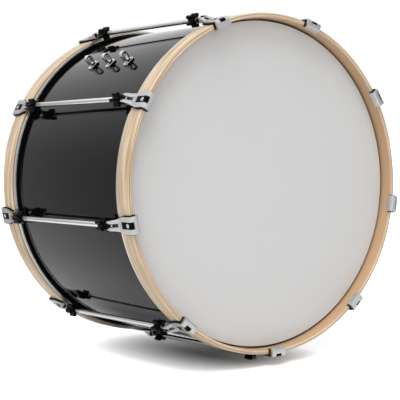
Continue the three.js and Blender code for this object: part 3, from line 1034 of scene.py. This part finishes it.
class DRUM_OT_stage(bpy.types.Operator):
    """Sets the camera, the floor, the surroundings, the lights and the glowing cards of painted
    reflections
    """
    bl_idname = "drum.stage"
    bl_label = "Stage"

    def execute(self, context):
        scene = context.scene
        values = scene.drum_stage
        self.camera(scene)
        self.floor(scene, values)
        self.surroundings(scene, values)
        self.lamps(values)
        self.cards(values)
        scene.view_settings.view_transform = "Standard"
        return {"FINISHED"}

    def camera(self, scene):
        """A long lens at the photograph's place, from in front, to the left and just above."""
        back = Vector((math.sin(VIEW_AZIMUTH) * math.cos(VIEW_ELEVATION),
                       -math.cos(VIEW_AZIMUTH) * math.cos(VIEW_ELEVATION),
                       math.sin(VIEW_ELEVATION)))
        right = (-back).cross(Vector((0, 0, 1))).normalized()
        axes = Matrix((right, right.cross(-back), back)).transposed().to_4x4()
        camera = bpy.data.cameras.new("camera")
        camera.lens = VIEW_LENS
        camera.sensor_width = 36.0
        camera.clip_start, camera.clip_end = 0.05, 60.0
        obj = shown("camera", camera)
        obj.matrix_world = (Matrix.Translation((0.0, 0.0, AXIS_HEIGHT))
                            @ Matrix.Rotation(VIEW_TURN, 4, "Y")
                            @ (Matrix.Translation(VIEW_PLACE) @ axes))
        scene.camera = obj

    def sheet(self, name, matrix, base, roughness, glow):
        """A flat piece of the stage, whose paper glows by what glow gives for its tree."""
        bm = bmesh.new()
        bmesh.ops.create_grid(bm, x_segments=1, y_segments=1, size=0.5)
        bmesh.ops.transform(bm, matrix=matrix, verts=list(bm.verts))
        mesh = mesh_of(name, bm)
        made = material(f"studio_{name}", base, roughness, 0.0, None, 0.0, 0.0)
        dress(made, {"Emission Color": WHITE, "Emission Strength": glow(made.node_tree)})
        mesh.materials.append(made)
        obj = shown(name, mesh)
        return obj

    def floor(self, scene, values):
        """A white floor, lifted where it is seen, straight or in a mirror: the camera sees a painted
        glow that grows from none under the drum, so the ellipse where it is low sets where the shadow
        shows.
        """
        def glow(tree):
            camera, mirror, _ = rays(tree)
            seen = maths(tree, "MULTIPLY", camera, self.painted_shadow_glow(tree, values))
            return maths(tree, "ADD", seen, maths(tree, "MULTIPLY", mirror, values.mirror_lift))

        self.sheet("floor", Matrix.Scale(2 * FLOOR_REACH, 4), scene.drum_colours.floor,
                   0.9, glow)

    def painted_shadow_glow(self, tree, values):
        """The floor's painted glow, from none under the drum to the whole lift beyond its shadow: it
        whitens the real shadow outside an ellipse, and so sets where the shadow shows.
        """
        shares = [maths(tree, "DIVIDE", maths(tree, "SUBTRACT", socket, middle), size)
                  for socket, middle, size in zip(
                      object_places(tree), (values.shadow_side, values.shadow_rear),
                      (values.shadow_across, values.shadow_along))]
        squares = [maths(tree, "MULTIPLY", share, share) for share in shares]
        return maths(tree, "MINIMUM", maths(tree, "ADD", *squares), values.lift)

    def surroundings(self, scene, values):
        """A soft room, white where it is seen, straight or in a mirror."""
        world = bpy.data.worlds.new("studio")
        world.use_nodes = True
        tree = world.node_tree
        camera, mirror, glossy = rays(tree)
        seen = maths(tree, "MAXIMUM", camera, mirror)
        lit = maths(tree, "MULTIPLY", maths(tree, "SUBTRACT", 1.0, glossy), values.world)
        feed(tree, tree.nodes["Background"],
             {"Color": WHITE, "Strength": maths(tree, "MAXIMUM", seen, lit)})
        scene.world = world

    def cards(self, values):
        """Two glowing cards outside the picture, which only the gloss of the drum shows: painted
        reflections, grey low down and white higher up.
        """
        for name, place, size, low, high in CARDS:
            self.card(name, Vector(place), size, getattr(values, name), low, high)

    def card(self, name, place, size, grey, low, high):
        """A card that faces the drum and glows grey up to one height and white from another, seen
        only by gloss: a painted reflection.
        """
        def glow(tree):
            shade = add(tree, "MapRange", {"Value": object_places(tree)[2], "From Min": low,
                                           "From Max": high, "To Min": grey})
            shade.interpolation_type = "SMOOTHSTEP"
            return shade.outputs["Result"]

        facing = Vector((-place.x, -place.y, 0.0)).to_track_quat("Z", "Y").to_matrix().to_4x4()
        matrix = Matrix.Translation(place) @ facing @ Matrix.Diagonal((*size, 1.0, 1.0))
        obj = self.sheet(name, matrix, BLACK, 0.5, glow)
        obj.visible_camera = obj.visible_diffuse = False
        obj.visible_transmission = obj.visible_shadow = False

    def lamps(self, values):
        """Soft lights from above on the left and from in front, that gloss doesn't mirror."""
        for name, direction, power, softness in LIGHTS:
            light = bpy.data.lights.new(name, "SUN")
            light.energy = getattr(values, power)
            light.angle = softness * values.softness
            obj = shown(name, light)
            obj.rotation_euler = Vector(direction).to_track_quat("-Z", "Y").to_euler()
            obj.visible_glossy = False


class DRUM_PT_parts(bpy.types.Panel):
    """Lists the drum's groups of pieces"""
    bl_label = "Marching Bass Drum"
    bl_idname = "DRUM_PT_parts"
    bl_space_type = "VIEW_3D"
    bl_region_type = "UI"
    bl_category = "Drum"

    def draw(self, context):
        layout = self.layout
        for operator in OPERATORS:
            layout.operator(operator.bl_idname)
        for values in ("drum_colours", "drum_stage"):
            settings = getattr(context.scene, values)
            for name in settings.__annotations__:
                layout.prop(settings, name, text=name.replace("_", " ").capitalize())


GROUPS = (("drum_rings", DrumRingSizes), ("drum_fittings", DrumFittingSizes),
          ("drum_colours", DrumColours), ("drum_stage", DrumStageValues))
OPERATORS = (DRUM_OT_stage, DRUM_OT_shell, DRUM_OT_heads, DRUM_OT_hoops, DRUM_OT_claws,
             DRUM_OT_hand_screws, DRUM_OT_tubes, DRUM_OT_sling_eyes)


def register():
    """Registers the add-on's classes and properties."""
    for name, kind in GROUPS:
        bpy.utils.register_class(kind)
        setattr(bpy.types.Scene, name, PointerProperty(type=kind))
    for kind in OPERATORS + (DRUM_PT_parts,):
        bpy.utils.register_class(kind)


def unregister():
    """Takes the add-on's classes and properties away again."""
    for kind in reversed(OPERATORS + (DRUM_PT_parts,)):
        bpy.utils.unregister_class(kind)
    for name, kind in reversed(GROUPS):
        delattr(bpy.types.Scene, name)
        bpy.utils.unregister_class(kind)


def main():
    """Makes the whole drum on its stage."""
    register()
    for operator in OPERATORS:
        area, name = operator.bl_idname.split(".")
        getattr(getattr(bpy.ops, area), name)()


if __name__ == "__main__":
    main()
